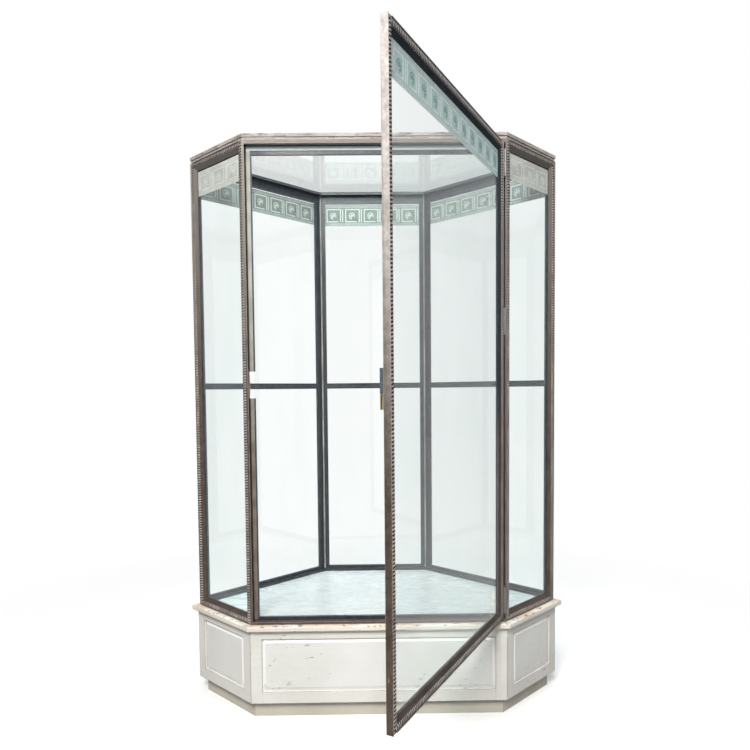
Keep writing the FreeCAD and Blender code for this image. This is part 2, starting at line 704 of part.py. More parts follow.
def screw(label, length):
    """A countersunk screw's head and shank along +Z, the head flush at z = 0 and the point upwards."""
    cone = doc.addObject("Part::Cone", label + "_head")
    bind(cone, Radius1="screw_head", Radius2="screw_radius", Height="screw_head - screw_radius")
    return cone, rod(label + "_shank", "screw_radius", length)


def aimed(piece, side, x, y, z, way):
    """Points a screw to the right, left or front of the door's or the case's own frame."""
    axis, angle = {"right": ((0, 1, 0), 90), "left": ((0, 1, 0), -90), "front": ((1, 0, 0), 90)}[way]
    base = FreeCAD.Rotation(FreeCAD.Vector(*axis), angle)
    if side == DOOR_SIDE:
        base = FreeCAD.Rotation(FreeCAD.Vector(0, 0, 1), number("open_angle")).multiply(base)
        place(piece, f"pin_x + ({x}) * cos(open_angle * 1 deg) - ({y}) * sin(open_angle * 1 deg)",
              f"pin_y + ({x}) * sin(open_angle * 1 deg) + ({y}) * cos(open_angle * 1 deg)", z)
    else:
        place(piece, f"pin_x + ({x})", f"pin_y + ({y})", z)
    piece.Placement = FreeCAD.Placement(piece.Placement.Base, base)
    return piece


def set_screw(label, side, x, y, z, way):
    """One hinge screw, in place."""
    pieces = [aimed(piece, side, x, y, z, way) for piece in screw(label, "screw_length")]
    return fuse(label, *pieces)


def hinge_screws(side):
    """Three screws in each leaf, driven from the gap into the door's edge or the jamb."""
    x = "leaf_gap / 2" if side == CASE_SIDE else "-leaf_gap / 2"
    way = "right" if side == CASE_SIDE else "left"
    screws = []
    for hinge, low in HINGES.items():
        for step in (-1, 0, 1):
            z = f"{low} + hinge_height / 2 + {step} * screw_pitch"
            screws.append(set_screw(f"screw_{side}_{hinge}_{step + 1}", side, x, "screw_line", z, way))
    return screws


def pin(hinge, low):
    """A hinge pin, tight in the lower knuckle and free in the upper one."""
    body = rod(f"pin_{hinge}", "pin_radius", "hinge_height - pin_short")
    return set_on(body, CASE_SIDE, "0", "0", low)


# ---- lock ----

def lock_case():
    """A box screwed to the lock stile's inner side, hollow for the bolt and bored for the spindle."""
    shell = block("lock_shell", ("lock_width", "lock_depth", "lock_height"))
    in_door(shell, "free_edge + lock_edge", "door_back", "lock_level - lock_height / 2")
    channel = block("lock_channel", (
        "lock_width - lock_wall + cut_over", "bolt_thick + 2 * bolt_play", "bolt_height + 2 * bolt_play"))
    in_door(channel, "free_edge + lock_edge - cut_over", "bolt_depth - bolt_play", "bolt_low - bolt_play")
    spindle_hole = rod("spindle_bore", "spindle_radius + pin_play", "lock_depth")
    bore = across_door(spindle_hole, "door_back + lock_wall")
    return cut("lock_case_bored", shell, channel, bore)


def across_door(piece, depth):
    """Lays a cylinder on the spindle's axis, from a depth in the door's frame towards the inside."""
    in_door(piece, "free_edge + spindle_line", depth, "spindle_level")
    turn = FreeCAD.Rotation(FreeCAD.Vector(0, 0, 1), number("open_angle"))
    lay = FreeCAD.Rotation(FreeCAD.Vector(1, 0, 0), -90)
    piece.setExpression("Placement.Rotation.Angle", None)
    piece.Placement = FreeCAD.Placement(piece.Placement.Base, turn.multiply(lay))
    return piece


def lock_bolt():
    """The bolt, drawn back flush with the lock's case."""
    bolt = block("lock_bolt", ("bolt_length", "bolt_thick", "bolt_height"))
    return in_door(bolt, "free_edge + lock_edge", "bolt_depth", "bolt_low")


def lock_lever():
    """A spindle and hub with a lever that hangs below them."""
    reach = "lock_depth - lock_wall - spindle_gap + lever_play"
    spindle = rod("lever_spindle", "spindle_radius", reach)
    across_door(spindle, "door_back + lock_wall + spindle_gap")
    hub = across_door(rod("lever_hub", "hub_radius", "hub_length + lever_thick - lever_play"),
                      "door_back + lock_depth + lever_play")
    lever = block("lever_arm", ("lever_width", "lever_thick", "lever_length"))
    in_door(lever, "free_edge + spindle_line - lever_width / 2", "door_back + lock_depth + hub_length",
            "spindle_level - lever_length")
    return fuse("lock_lever", spindle, hub, lever)


def strike():
    """A plate on the lock jamb's side of the gap, with a window for the bolt."""
    flat = block("strike_flat", ("strike_thick", "strike_width", "strike_height"))
    front = "bolt_line + (bolt_thick - strike_width) / 2"
    place(flat, "opening_left", front, "lock_level - strike_height / 2")
    window = block("strike_window", (
        "strike_thick + 2 * cut_over", "bolt_thick + 2 * window_play", "bolt_height + 2 * window_play"))
    place(window, "opening_left - cut_over", "bolt_line - window_play", "bolt_low - window_play")
    return cut("strike_plate", flat, window)


def lock_screws():
    """Four screws through the lock's case into the stile, heads inside the case's face."""
    screws = []
    rise = "(lock_height / 2 - lock_screw_inset)"
    for row, z in (("low", f"lock_level - {rise}"), ("high", f"lock_level + {rise}")):
        for column, x in (("near", "free_edge + lock_screw_near"), ("far", "free_edge + lock_screw_far")):
            label = f"lock_screw_{row}_{column}"
            pieces = [aimed(piece, DOOR_SIDE, x, "door_back + lock_depth", z, "front")
                      for piece in screw(label, "lock_depth + lock_bite")]
            screws.append(fuse(label, *pieces))
    return screws


# ---- whole ----

parts = []


def keep(thing):
    """Adds a finished sub-part to those that are written."""
    parts.append(thing)
    return thing


for face in FACES:
    keep(plinth_frame(face))
    keep(plinth_panel(face))
toe_boards = [board(f"toe_board_{face}", face, "kick_inset", "kick_inset + kick_thick", "0", "kick_height")
              for face in FACES]
keep(group("toe_kick", toe_boards))
keep(bearers())
keep(plate("base_bottom", "plinth_back", "kick_height", "bottom_thick"))
keep(group("corner_posts", [corner_post(face) for face in FACES]))
keep(top_slab())
door_stops = keep(stops())
floor_board = plate("floor_board", "frame_thick + floor_play", "slab_top", "floor_thick")
keep(cut("display_floor", floor_board, door_stops))
skirting = [board(f"skirting_{face}", face, "frame_thick + floor_play", "frame_thick + floor_play + skirting",
                  "floor_top", "floor_top + skirting") for face in GLAZED]
keep(cut("floor_skirting", group("skirting_boards", skirting), door_stops))

uprights_of = {}
rails_of = {}
bead_pieces = []
bars = []
for face in GLAZED:
    uprights_of[face] = [case_stile(face, side) for side in ("left", "right")]
    scribe = group(f"uprights_{face}", uprights_of[face])
    rails_of[face] = [case_rail(face, level, scribe) for level in ("top", "low")]
    length = FACES[face][3]
    ring = rope_ring(f"rope_moulding_{face}", "(slab_top + rope_line)", "(case_top - rope_line)",
                     "rope_line", f"({length} - rope_line)", "land_depth")
    keep(on_face(ring, face))
    for part, (low, high) in pane_levels(face).items():
        keep(pane(face, part, low, high))
        bead_pieces += beads(face, part, low, high)
    if face in REAR:
        bars.append(mid_bar(face, scribe))

case_screws = keep(group("case_screws", hinge_screws(CASE_SIDE)))
uprights_of[FRONT_RIGHT][0] = cut("hinge_jamb", uprights_of[FRONT_RIGHT][0], case_screws)
uprights_of[FRONT_LEFT][1] = cut("lock_jamb", uprights_of[FRONT_LEFT][1], mortise("strike_mortise"))
for face in GLAZED:
    keep(group(f"frame_{face}", uprights_of[face] + rails_of[face]))
keep(group("glazing_beads", bead_pieces))
keep(group("mid_bars", bars))
keep(group("inner_rope_strips", [inner_rope(side) for side in ("left", "right")]))
keep(surround())
keep(seals())
keep(strike())

cornice = [board(f"cornice_{face}", face, "cornice_inset", "cornice_inset + cornice_width",
                 "case_top", "cap_base") for face in FACES]
keep(group("cornice", cornice))
caps = [board(f"cap_{face}", face, "0", "cap_width", "cap_base", "cap_base + cap_height") for face in FACES]
keep(group("cap_moulding", caps))
keep(plate("roof_glass", "cap_width + roof_play", "cap_base", "roof_glass"))

plain_stiles = [door_stile(side) for side in ("lock", "hinge")]
scribe = group("door_uprights", plain_stiles)
door_screws = keep(group("door_screws", hinge_screws(DOOR_SIDE) + lock_screws()))
keep(group("door_stiles", [cut(f"{stile.Name}_drilled", stile, door_screws) for stile in plain_stiles]))
keep(group("door_rails", [door_rail(level, scribe) for level in ("top", "low")]))
ring = rope_ring("door_rope_moulding", "(door_low + rope_line)", "(door_high - rope_line)",
                 "(free_edge + rope_line)", "(-hinge_clear - rope_line)", "(pin_proud + land_depth)")
keep(on_door(ring))
keep(door_pane())
keep(door_beads())

for side, screws in ((CASE_SIDE, case_screws), (DOOR_SIDE, door_screws)):
    leaves = group(f"leaf_blanks_{side}", [leaf(side, hinge, low) for hinge, low in HINGES.items()])
    keep(cut(f"hinge_{side}_leaves", leaves, screws))
keep(group("hinge_pins", [pin(hinge, low) for hinge, low in HINGES.items()]))
keep(cut("lock_case", lock_case(), door_screws))
keep(lock_bolt())
keep(lock_lever())

doc.recompute()
for thing in doc.Objects:
    if "Invalid" in thing.State or "Error" in thing.State:
        raise RuntimeError(f"{thing.Name} did not build: {thing.State}")
os.makedirs("parts", exist_ok=True)
for part in parts:
    if part.Shape.isNull() or not part.Shape.isValid():
        raise RuntimeError(f"{part.Label} has no valid shape")
    part.Shape.exportStep(f"parts/{part.Label}.step")
    print(part.Label, len(part.Shape.Solids), round(part.Shape.Volume / 1000, 1), "cm3")
print(len(parts), "sub-parts")
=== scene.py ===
"""Looks of the six-sided glass showcase: camera, light, finishes, rope mouldings and the etched friezes.

Metres, in the model's own frame. A face's own frame has u along the face to the right as seen from outside,
n inwards from its outer plane, and z up. The door has such a frame too, which stands open with it.
"""
import json
import math

import bpy
import numpy as np
from mathutils import Matrix, Vector


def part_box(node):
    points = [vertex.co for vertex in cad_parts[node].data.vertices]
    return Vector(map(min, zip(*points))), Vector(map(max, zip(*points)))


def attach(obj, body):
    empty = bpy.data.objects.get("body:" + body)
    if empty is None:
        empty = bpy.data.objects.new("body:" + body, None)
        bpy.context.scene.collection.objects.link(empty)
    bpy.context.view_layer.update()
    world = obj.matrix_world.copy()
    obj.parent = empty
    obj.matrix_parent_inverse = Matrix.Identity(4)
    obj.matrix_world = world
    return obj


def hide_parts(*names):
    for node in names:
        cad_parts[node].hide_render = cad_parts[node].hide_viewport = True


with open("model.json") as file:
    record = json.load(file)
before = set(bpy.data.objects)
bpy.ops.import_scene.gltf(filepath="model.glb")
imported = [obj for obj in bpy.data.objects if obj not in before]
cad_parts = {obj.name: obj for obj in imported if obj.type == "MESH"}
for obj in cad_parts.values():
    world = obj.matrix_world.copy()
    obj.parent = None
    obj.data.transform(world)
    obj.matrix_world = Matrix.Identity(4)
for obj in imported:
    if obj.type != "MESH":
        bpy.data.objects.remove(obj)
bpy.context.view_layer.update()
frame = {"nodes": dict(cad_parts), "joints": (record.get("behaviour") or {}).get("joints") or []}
nodes = frame["nodes"]

MM = 0.001

# ---- places taken from the model ----

plan_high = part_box("cap_moulding")[1]
SIDE_X = plan_high.x
HALF_DEPTH = plan_high.y
SIDE_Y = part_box("frame_front_right")[1].y
FRONT_HALF = SIDE_X - (SIDE_Y + HALF_DEPTH)
BACK_HALF = SIDE_X - (HALF_DEPTH - SIDE_Y)
swing = next(joint for joint in frame["joints"] if joint["name"] == "door_swing")
PIN = Vector(swing["pos_m"])
OPEN_ANGLE = -swing["range_deg"][0]

# sizes of the mouldings and panes, which the solids share
FRAME_WIDTH = 36 * MM
LAND_DEPTH = 3 * MM
ROPE_WIDTH = 16 * MM
ROPE_PITCH = 10 * MM


class Face:
    """One side of the case, or the door: where it starts, its length, its levels and its pane's depth."""

    def __init__(self, heading, corner, length, low, high):
        self.heading = math.radians(heading)
        self.corner = corner
        self.length = length
        self.low = low
        self.high = high
        self.pane = None
        self.right = np.array([math.cos(self.heading), math.sin(self.heading), 0.0])
        self.inward = np.array([-math.sin(self.heading), math.cos(self.heading), 0.0])

    def to_row(self, u, n, z):
        """Points of the model's frame for arrays of u, n and z."""
        start = np.array([self.corner[0], self.corner[1], 0.0])
        return start + np.multiply.outer(u, self.right) + np.multiply.outer(n, self.inward) + \
            np.multiply.outer(z, np.array([0.0, 0.0, 1.0]))

    def extent(self, node):
        """Lowest and highest (u, n, z) of a CAD node."""
        flat = np.zeros(len(nodes[node].data.vertices) * 3)
        nodes[node].data.vertices.foreach_get("co", flat)
        points = flat.reshape(-1, 3) - np.array([self.corner[0], self.corner[1], 0.0])
        local = np.stack([points @ self.right, points @ self.inward, points[:, 2]], axis=1)
        return local.min(0), local.max(0)


def door_face():
    """The door's frame, from its stiles' mesh: its free edge is at u = 0 and its outer side at n = 0."""
    hung = Face(OPEN_ANGLE, (PIN.x, PIN.y), 0, 0, 0)
    low, high = hung.extent("door_stiles")
    start = hung.to_row(np.array([low[0]]), np.array([low[1]]), np.array([0.0]))[0]
    face = Face(OPEN_ANGLE, (start[0], start[1]), high[0] - low[0], low[2], high[2])
    face.pane = face.extent("door_glass")[0][1]
    return face


def fixed_faces():
    """The five glazed sides."""
    slanted_front = (SIDE_Y + HALF_DEPTH) * math.sqrt(2)
    slanted_rear = (HALF_DEPTH - SIDE_Y) * math.sqrt(2)
    plan = {
        "front_left": (315, (-SIDE_X, SIDE_Y), slanted_front, "glass_front_left"),
        "front_right": (45, (FRONT_HALF, -HALF_DEPTH), slanted_front, "glass_front_right"),
        "rear_right": (135, (SIDE_X, SIDE_Y), slanted_rear, "glass_rear_right_upper"),
        "back": (180, (BACK_HALF, HALF_DEPTH), 2 * BACK_HALF, "glass_back_upper"),
        "rear_left": (225, (-BACK_HALF, HALF_DEPTH), slanted_rear, "glass_rear_left_upper"),
    }
    made = {}
    for name, (heading, corner, length, pane) in plan.items():
        low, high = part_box(f"frame_{name}")
        made[name] = Face(heading, corner, length, low.z, high.z)
        made[name].pane = made[name].extent(pane)[0][1]
    return made


FACES = fixed_faces()
FRONT = Face(0, (-FRONT_HALF, -HALF_DEPTH), 2 * FRONT_HALF, 0, 0)
DOOR = door_face()

# ---- camera, light and stage ----

CAMERA_X = -0.0525
CAMERA_AHEAD = 2.411
CAMERA_Z = 1.2258
PITCH_DOWN = 2.96
YAW_RIGHT = 0.59
ROLL = -0.55
LENS = 31.54
SHIFT = (0.0074, 0.0655)


def make_camera():
    """A camera at chest height, a little left of the middle and tilted slightly down."""
    data = bpy.data.cameras.new("camera")
    data.lens = LENS
    data.sensor_width = 36
    data.shift_x, data.shift_y = SHIFT
    camera = bpy.data.objects.new("camera", data)
    turn = Matrix.Rotation(math.radians(-YAW_RIGHT), 4, "Z")
    turn = turn @ Matrix.Rotation(math.radians(90 - PITCH_DOWN), 4, "X")
    turn = turn @ Matrix.Rotation(math.radians(ROLL), 4, "Z")
    camera.matrix_world = Matrix.Translation((CAMERA_X, -HALF_DEPTH - CAMERA_AHEAD, CAMERA_Z)) @ turn
    bpy.context.scene.collection.objects.link(camera)
    bpy.context.scene.camera = camera


def area_light(name, place, target, size, power, colour):
    """A square soft light aimed at a point."""
    data = bpy.data.lights.new(name, "AREA")
    data.energy = power
    data.size = size
    data.color = colour
    lamp = bpy.data.objects.new(name, data)
    lamp.location = place
    lamp.rotation_euler = (Vector(target) - Vector(place)).to_track_quat("-Z", "Y").to_euler()
    bpy.context.scene.collection.objects.link(lamp)


def make_world():
    """A white backdrop, which lights the room less than it shows: brighter overhead than at eye level."""
    world = bpy.data.worlds.new("studio")
    world.use_nodes = True
    graph = Graph(world.node_tree)
    background = world.node_tree.nodes["Background"]
    upward = graph.up(graph.node("ShaderNodeTexCoord").outputs["Generated"])
    soft = graph.mix(graph.step(upward, -0.1, 0.8), (0.075, 0.08, 0.085), (0.32, 0.33, 0.345))
    graph.put(background.inputs["Color"], graph.mix(graph.looked_at(), soft, (1.0, 1.0, 1.0)))
    bpy.context.scene.world = world


def make_stage():
    """A pale floor, a white backdrop and three soft lights, the strongest from ahead and above."""
    make_world()
    bpy.context.scene.view_settings.view_transform = "Standard"
    area_light("key", (-1.1, -5.4, 5.4), (0, 0, 1.0), 2.4, 520, (1.0, 0.985, 0.96))
    area_light("fill", (4.2, -2.6, 2.6), (0, 0, 1.0), 3.0, 20, (0.93, 0.97, 1.0))
    area_light("top", (0.3, 0.4, 5.0), (0, 0, 1.0), 3.0, 62, (1.0, 1.0, 1.0))
    reach = 12.0
    mesh = bpy.data.meshes.new("studio_floor")
    corners = [(-reach, -reach, 0), (reach, -reach, 0), (reach, reach, 0), (-reach, reach, 0)]
    mesh.from_pydata(corners, [], [(0, 1, 2, 3)])
    floor = bpy.data.objects.new("studio_floor", mesh)
    bpy.context.scene.collection.objects.link(floor)
    floor.data.materials.append(floor_material())


# ---- node graphs ----

class Graph:
    """Shorthand for the nodes of one material or one shader node group."""

    def __init__(self, tree):
        self.tree = tree

    def put(self, socket, value):
        """Feeds a socket with a link, a number or a colour."""
        if isinstance(value, bpy.types.NodeSocket):
            self.tree.links.new(value, socket)
        elif isinstance(value, tuple) and len(value) == 3 and socket.type == "RGBA":
            socket.default_value = (*value, 1)
        else:
            socket.default_value = value

    def node(self, kind, inputs=None, **settings):
        """A node with settings, and inputs by name or number."""
        made = self.tree.nodes.new(kind)
        for key, value in settings.items():
            setattr(made, key, value)
        for key, value in (inputs or {}).items():
            self.put(made.inputs[key], value)
        return made

    def math(self, operation, first, second=0.0, clamp=False):
        """One arithmetic step."""
        made = self.node("ShaderNodeMath", {0: first, 1: second}, operation=operation, use_clamp=clamp)
        return made.outputs[0]

    def dot(self, first, second):
        """The dot product of two vectors."""
        made = self.node("ShaderNodeVectorMath", {0: first, 1: second}, operation="DOT_PRODUCT")
        return made.outputs["Value"]

    def step(self, value, low, high, bottom=0.0, top=1.0):
        """A smooth step from low to high."""
        inputs = {"Value": value, "From Min": low, "From Max": high, "To Min": bottom, "To Max": top}
        return self.node("ShaderNodeMapRange", inputs, interpolation_type="SMOOTHSTEP").outputs["Result"]

    def mix(self, share, first, second):
        """A blend of two colours."""
        made = self.node("ShaderNodeMix", data_type="RGBA")
        self.put(made.inputs["Factor"], share)
        self.put(made.inputs[6], first)
        self.put(made.inputs[7], second)
        return made.outputs[2]

    def noise(self, vector, scale, detail=3.0, rough=0.5):
        """Cloudy noise from 0 to 1."""
        inputs = {"Vector": vector, "Scale": scale, "Detail": detail, "Roughness": rough}
        return self.node("ShaderNodeTexNoise", inputs).outputs["Fac"]

    def place(self):
        """The point on the object."""
        return self.node("ShaderNodeTexCoord").outputs["Object"]

    def stretched(self, vector, scale):
        """A point scaled along each axis, for grain."""
        return self.node("ShaderNodeMapping", {"Vector": vector, "Scale": scale}).outputs["Vector"]

    def bump(self, height, distance, strength=1.0):
        """A normal from a height."""
        inputs = {"Height": height, "Distance": distance, "Strength": strength}
        return self.node("ShaderNodeBump", inputs).outputs["Normal"]

    def looked_at(self):
        """One where the view itself falls, straight or through glass, and nothing for bounced light."""
        seen = self.node("ShaderNodeLightPath").outputs
        return self.math("MAXIMUM", seen["Is Camera Ray"], seen["Is Transmission Ray"])

    def up(self, point):
        """The height of a point."""
        return self.node("ShaderNodeSeparateXYZ", {0: point}).outputs["Z"]

    def offset(self, point, face, direction):
        """How far a point lies from a face's starting corner along a level direction."""
        start = float(np.dot(direction[:2], face.corner))
        return self.math("SUBTRACT", self.dot(point, tuple(direction)), start)

    def depth(self, point, face):
        """How far a point lies behind a face's outer plane."""
        return self.offset(point, face, face.inward)

    def use(self, group, **inputs):
        """A copy of a shared node group, with its own values."""
        made = self.tree.nodes.new("ShaderNodeGroup")
        made.node_tree = group
        for key, value in inputs.items():
            self.put(made.inputs[key.replace("_", " ")], value)
        return made


def new_group(name, inputs, outputs):
    """An empty shader node group with named sockets; returns its graph, its inputs and its output node."""
    tree = bpy.data.node_groups.new(name, "ShaderNodeTree")
    for label, kind, value in inputs:
        socket = tree.interface.new_socket(label, in_out="INPUT", socket_type=kind)
        if value is not None:
            socket.default_value = value
    for label, kind in outputs:
        tree.interface.new_socket(label, in_out="OUTPUT", socket_type=kind)
    graph = Graph(tree)
    return tree, graph, tree.nodes.new("NodeGroupInput").outputs, tree.nodes.new("NodeGroupOutput").inputs


FLOAT, VECTOR = "NodeSocketFloat", "NodeSocketVector"


def clouding_group():
    """Broad and fine variation of a painted surface, both from 0 to 1."""
    tree, graph, given, out = new_group("clouding", [("Point", VECTOR, None), ("Size", FLOAT, 0.2)],
                                        [("Broad", FLOAT), ("Fine", FLOAT)])
    frequency = graph.math("DIVIDE", 1.0, given["Size"])
    broad = graph.noise(given["Point"], frequency, 2.0)
    fine = graph.noise(given["Point"], graph.math("MULTIPLY", frequency, 9.0), 4.0, 0.65)
    graph.put(out["Broad"], graph.step(broad, 0.35, 0.65))
    graph.put(out["Fine"], graph.step(fine, 0.3, 0.7))
    return tree


def wear_group():
    """Where an edge has lost its finish: rounded corners found by the bevel normal, broken up by noise."""
    tree, graph, given, out = new_group("edge_wear", [
        ("Point", VECTOR, None), ("Reach", FLOAT, 0.003), ("Grain", FLOAT, 60.0), ("Amount", FLOAT, 0.5)],
        [("Mask", FLOAT), ("Edge", FLOAT)])
    soft = graph.node("ShaderNodeBevel", {"Radius": given["Reach"]}, samples=6).outputs["Normal"]
    plain = graph.node("ShaderNodeNewGeometry").outputs["Normal"]
    edge = graph.step(graph.dot(soft, plain), 0.995, 0.80)
    speckle = graph.noise(given["Point"], given["Grain"], 5.0, 0.7)
    patches = graph.noise(given["Point"], graph.math("MULTIPLY", given["Grain"], 0.12), 2.0)
    level = graph.math("ADD", graph.math("MULTIPLY", speckle, 0.55), graph.math("MULTIPLY", patches, 0.45))
    limit = graph.math("SUBTRACT", 1.0, given["Amount"])
    broken = graph.step(graph.math("SUBTRACT", level, graph.math("MULTIPLY", limit, 0.62)), 0.0, 0.06)
    graph.put(out["Mask"], graph.math("MULTIPLY", edge, broken))
    graph.put(out["Edge"], edge)
    return tree


def grain_group():
    """Fine lines that run along one direction, as brush marks or wood grain."""
    sockets = [("Point", VECTOR, None), ("Lines", FLOAT, 400.0), ("Stretch", VECTOR, (1.0, 1.0, 0.03))]
    tree, graph, given, out = new_group("grain", sockets, [("Lines", FLOAT)])
    terms = {0: given["Point"], 1: given["Stretch"]}
    scaled = graph.node("ShaderNodeVectorMath", terms, operation="MULTIPLY")
    wander = graph.noise(scaled.outputs["Vector"], given["Lines"], 3.0, 0.6)
    graph.put(out["Lines"], graph.step(wander, 0.3, 0.7))
    return tree


CLOUDING = clouding_group()
EDGE_WEAR = wear_group()
GRAIN = grain_group()
LEVEL_GRAIN = (0.03, 0.03, 1.0)


def new_material(name):
    """A material with one Principled shader; returns it, its graph and the shader's inputs."""
    material = bpy.data.materials.new(name)
    material.use_nodes = True
    shader = material.node_tree.nodes["Principled BSDF"]
    return material, Graph(material.node_tree), shader.inputs


def floor_material():
    """A pale matt floor that fades into the backdrop away from the case, and throws back little light."""
    material, graph, shader = new_material("studio_floor")
    point = graph.place()
    spread = graph.use(CLOUDING, Point=point, Size=1.5)
    away = graph.node("ShaderNodeVectorMath", {0: point}, operation="LENGTH").outputs["Value"]
    fade = graph.step(away, 0.9, 2.8)
    pale = graph.mix(spread.outputs["Broad"], (0.92, 0.92, 0.91), (0.95, 0.95, 0.94))
    pale = graph.mix(fade, pale, (0.0, 0.0, 0.0))
    glow = graph.mix(fade, (0.10, 0.10, 0.10), (1.0, 1.0, 1.0))
    looked_at = graph.looked_at()
    graph.put(shader["Base Color"], graph.mix(looked_at, (0.34, 0.34, 0.33), pale))
    graph.put(shader["Emission Color"], graph.mix(looked_at, (0.0, 0.0, 0.0), glow))
    shader["Emission Strength"].default_value = 1.0
    shader["Roughness"].default_value = 0.7
    shader["Specular IOR Level"].default_value = 0.0
    return material


EDGE_STAIN = (0.66, 0.47, 0.37)
FIELD_DEPTH = -3 * MM


def cream_paint(name, light, shade, bare, chips, spotted=0.0, rim=None, face=None):
    """Old brushed paint over wood: clouded colour, brush lines, stained edges, and chips that show the wood.

    Chips gather at the edges, and for a rounded board above and below the middle of its rim. Loose flakes are
    short level marks, most of them low down, as spotted says. With a face, the bevels behind the raised field
    are painted paler than the field, a painted highlight for the light they catch.
    """
    material, graph, shader = new_material(name)
    point = graph.place()
    cloud = graph.use(CLOUDING, Point=point, Size=0.22)
    brush = graph.use(GRAIN, Point=point, Lines=260.0, Stretch=LEVEL_GRAIN).outputs["Lines"]
    worn = graph.use(EDGE_WEAR, Point=point, Reach=0.003, Grain=75.0, Amount=chips)
    edge, bare_edge = worn.outputs["Edge"], worn.outputs["Mask"]
    flakes = graph.step(graph.noise(graph.stretched(point, (0.6, 0.6, 1.9)), 62.0, 5.0, 0.72), 0.63, 0.65)
    height = graph.up(point)
    low_down = graph.step(height, 0.24, 0.12, 0.0, 0.17 * spotted)
    patch = graph.math("ADD", graph.noise(point, 4.3, 1.0), low_down)
    loose = graph.math("MULTIPLY", flakes, graph.step(patch, 0.60, 0.66))
    if rim is not None:
        off_middle = graph.math("ABSOLUTE", graph.math("SUBTRACT", height, (rim[0] + rim[1]) / 2))
        edge = graph.step(off_middle, (rim[1] - rim[0]) * 0.22, (rim[1] - rim[0]) * 0.42)
        crumbs = graph.noise(graph.stretched(point, (0.45, 0.45, 1.4)), 95.0, 5.0, 0.7)
        bare_edge = graph.math("MULTIPLY", graph.step(crumbs, 0.57, 0.61), edge)
    chipped = graph.math("MAXIMUM", bare_edge, loose)
    tone = graph.math("MULTIPLY", cloud.outputs["Broad"], 0.6)
    tone = graph.math("ADD", tone, graph.math("MULTIPLY", brush, 0.25))
    tone = graph.math("ADD", tone, graph.math("MULTIPLY", cloud.outputs["Fine"], 0.15))
    paint = graph.mix(tone, light, shade)
    if face is not None:
        # painted highlight: the bevels round the raised field are painted paler than the field, for the light
        # they catch
        bevel_highlight = graph.step(graph.depth(point, face), FIELD_DEPTH + 0.0003, FIELD_DEPTH + 0.0008)
        paint = graph.mix(graph.math("MULTIPLY", bevel_highlight, 0.9), paint, (0.96, 0.955, 0.94))
    stained = graph.math("MULTIPLY", edge, graph.step(graph.noise(point, 9.0, 4.0, 0.7), 0.44, 0.6))
    paint = graph.mix(graph.math("MULTIPLY", stained, 0.65), paint, EDGE_STAIN)
    wood = graph.mix(cloud.outputs["Fine"], bare, tuple(0.4 * part for part in bare))
    graph.put(shader["Base Color"], graph.mix(chipped, paint, wood))
    graph.put(shader["Roughness"], graph.step(chipped, 0.0, 1.0, 0.42, 0.8))
    height = graph.math("SUBTRACT", graph.math("MULTIPLY", brush, 0.25), chipped)
    graph.put(shader["Normal"], graph.bump(height, 0.0006, 0.8))
    return material


BLACK_TONES = ((0.012, 0.016, 0.022), (0.036, 0.044, 0.053))


def bronze_colours(graph, point, wear):
    """The bronze finish's colour: dark brown, lighter grey with height as a painted sheen of the light from
    above, rubbed pinkish grey where it is worn.
    """
    cloud = graph.use(CLOUDING, Point=point, Size=0.12)
    height = graph.up(point)
    brown = graph.mix(cloud.outputs["Broad"], (0.050, 0.033, 0.025), (0.088, 0.060, 0.047))
    brown = graph.mix(graph.math("MULTIPLY", cloud.outputs["Fine"], 0.45), brown, (0.17, 0.125, 0.10))
    # painted sheen: the brown is mixed towards a lighter grey higher up, for the light falling from above
    brown = graph.mix(graph.step(height, 1.0, 2.2, 0.0, 0.6), brown, (0.24, 0.215, 0.20))
    rubbed_and_highlit = graph.mix(cloud.outputs["Fine"], (0.56, 0.47, 0.42), (0.80, 0.73, 0.69))
    return graph.mix(wear, brown, rubbed_and_highlit), cloud


def cornice_finish(name):
    """The cornice: pale pinkish paint, paler than the frames' bronze as a painted highlight for the light it
    catches, with dark streaks along it, where the bronze shows.
    """
    material, graph, shader = new_material(name)
    point = graph.place()
    cloud = graph.use(CLOUDING, Point=point, Size=0.10)
    streaks = graph.noise(graph.stretched(point, (0.12, 0.12, 1.0)), 150.0, 4.0, 0.65)
    worn = graph.use(EDGE_WEAR, Point=point, Reach=0.002, Grain=90.0, Amount=0.7).outputs["Edge"]
    # painted highlight: the cornice's ground colour is pale pinkish, for the light falling on it
    pale = graph.mix(cloud.outputs["Broad"], (0.51, 0.465, 0.425), (0.37, 0.33, 0.30))
    strength = graph.step(cloud.outputs["Fine"], 0.0, 1.0, 0.55, 1.0)
    shown = graph.math("MULTIPLY", graph.step(streaks, 0.50, 0.63), strength)
    colour = graph.mix(shown, pale, (0.135, 0.10, 0.085))
    colour = graph.mix(graph.math("MULTIPLY", worn, 0.35), colour, (0.74, 0.69, 0.65))
    facing = graph.node("ShaderNodeNewGeometry").outputs["Normal"]
    level_place = graph.stretched(point, (1.0, 1.0, 0.0))
    towards_middle = graph.step(graph.dot(facing, level_place), 0.02, -0.02)
    under = graph.step(graph.up(facing), -0.4, -0.6)
    on_top = graph.step(graph.up(facing), 0.4, 0.6)
    inner = graph.math("SUBTRACT", graph.math("MAXIMUM", towards_middle, under), on_top, clamp=True)
    graph.put(shader["Base Color"], graph.mix(inner, colour, BLACK_TONES[1]))
    graph.put(shader["Roughness"], graph.step(cloud.outputs["Fine"], 0.0, 1.0, 0.45, 0.65))
    graph.put(shader["Normal"], graph.bump(streaks, 0.0004, 0.6))
    return material


